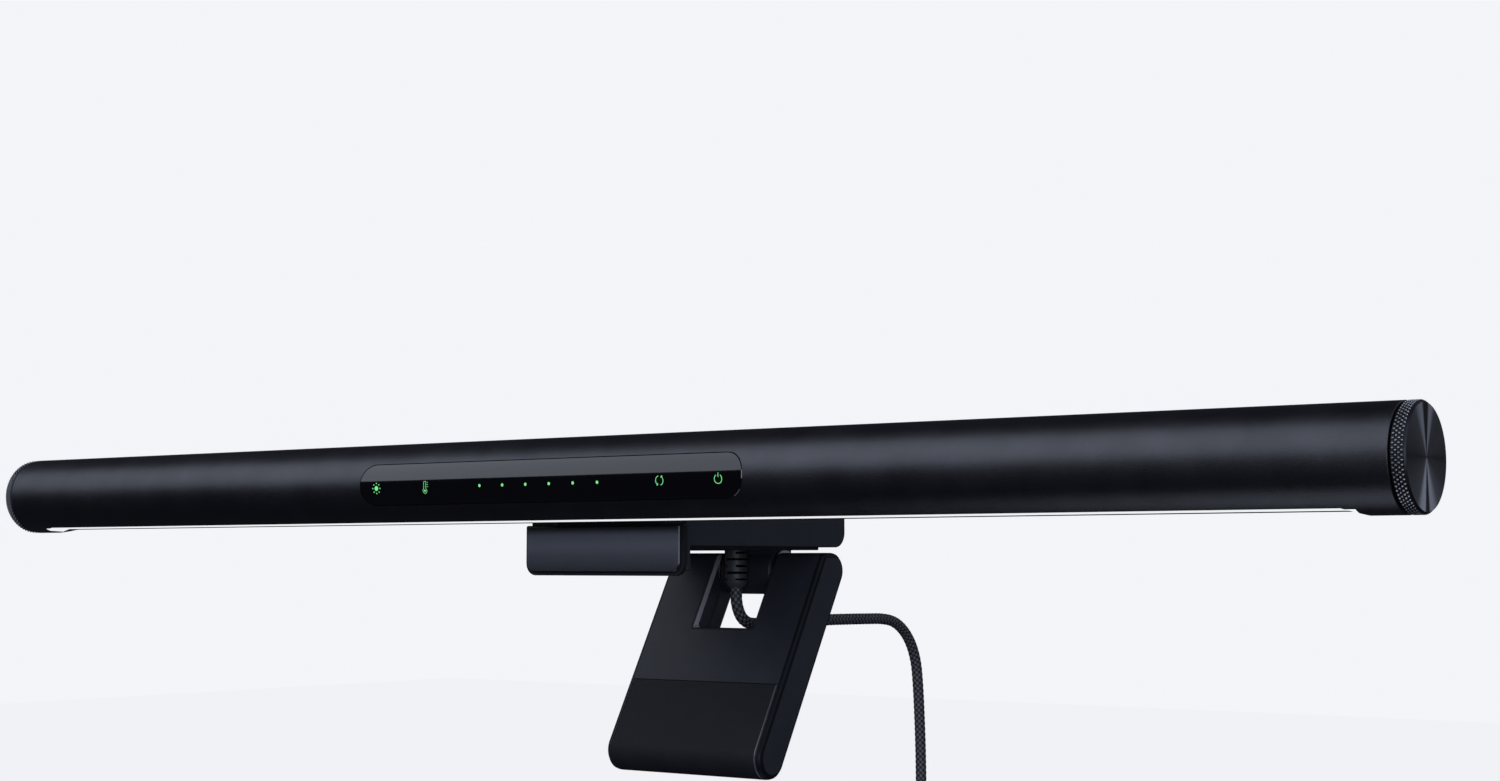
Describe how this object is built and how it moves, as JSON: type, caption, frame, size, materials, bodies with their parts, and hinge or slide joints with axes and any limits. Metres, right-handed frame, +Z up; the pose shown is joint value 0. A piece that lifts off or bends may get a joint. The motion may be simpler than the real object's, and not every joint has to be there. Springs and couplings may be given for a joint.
{
  "type": "monitor light bar",
  "caption": "Tubular lamp with a glossy touch strip and an opal underside lens, tilting on a spring clamp that rests on a screen's top edge, with a braided power cord.",
  "frame": {"origin": "centre of the underside of the rubber pad that rests on the screen's top edge", "axes": "+X along the lamp to the right of someone facing the lamp's front, +Y back over the screen, +Z up"},
  "size_m": [0.45, 0.191, 0.2404],
  "materials": {
    "anodised_black": "fine bead-blasted black anodising",
    "gunmetal": "spun and knurled dark anodising",
    "bare_aluminium": "plain extrusion",
    "black_plastic": "fine matte texture",
    "black_gloss": "polished, smoked",
    "white_lens": "opal, light-spreading",
    "circuit_board": "solder-masked laminate",
    "black_rubber": "matte",
    "steel": "plated",
    "spring_steel": "oiled wire",
    "lead_jacket": "matte",
    "braid": "woven sleeve",
    "tie_fabric": "hook-and-loop",
    "plug_shell": "nickel-plated"
  },
  "bodies": {
    "clamp": {"bridge_body": "black_plastic", "bridge_cover": "black_plastic", "cord": "braid", "cord_hank": "braid", "cord_tie": "tie_fabric", "cover_screw_1": "steel", "cover_screw_2": "steel", "cover_screw_3": "steel", "cover_screw_4": "steel", "hinge_knuckle": "black_plastic", "hinge_plate": "steel", "hinge_screw_left": "steel", "hinge_screw_right": "steel", "hinge_washer_left": "steel", "hinge_washer_right": "steel", "lip_gasket": "black_rubber", "lip_pad": "black_rubber", "lip_plate": "anodised_black", "power_lead": "lead_jacket", "rest_pad": "black_rubber", "saddle": "black_plastic", "saddle_liner": "black_plastic", "saddle_screw_left": "steel", "saddle_screw_right": "steel", "strain_relief": "black_rubber", "tilt_screw_left": "steel", "tilt_screw_right": "steel", "tilt_shoe": "black_plastic", "torsion_spring": "spring_steel", "usb_plug_grip": "black_plastic", "usb_plug_shell": "plug_shell", "usb_plug_tongue": "black_plastic"},
    "light_bar": {"tube_housing": "anodised_black", "front_diffuser": "white_lens", "rear_diffuser_left": "white_lens", "rear_diffuser_right": "white_lens", "carrier_rail": "bare_aluminium", "white_led_board": "circuit_board", "rear_led_board_left": "circuit_board", "rear_led_board_right": "circuit_board", "touch_panel": "black_gloss", "touch_board": "circuit_board", "driver_board": "circuit_board", "end_plug_left": "black_plastic", "end_plug_right": "black_plastic", "end_cap_left": "gunmetal", "end_cap_right": "gunmetal", "plug_screw_left_1": "steel", "plug_screw_left_2": "steel", "plug_screw_right_1": "steel", "plug_screw_right_2": "steel"},
    "leg": {"leg_body": "black_plastic", "leg_cover": "black_plastic", "leg_pad": "black_rubber", "leg_weight": "steel", "leg_screw_1": "steel", "leg_screw_2": "steel", "hinge_pin": "steel"}
  },
  "joints": [
    {"name": "bar_tilt", "type": "hinge", "parent": "clamp", "child": "light_bar", "pos_m": [0, -0.04645, 0.0173], "axis": [1, 0, 0], "range_deg": [-20, 20]},
    {"name": "leg_swing", "type": "hinge", "parent": "clamp", "child": "leg", "pos_m": [0, 0.03475, -0.0059], "axis": [1, 0, 0], "range_deg": [0, 45], "stiffness_Nm_per_rad": 0.08, "springref_deg": -40.11}
  ]
}
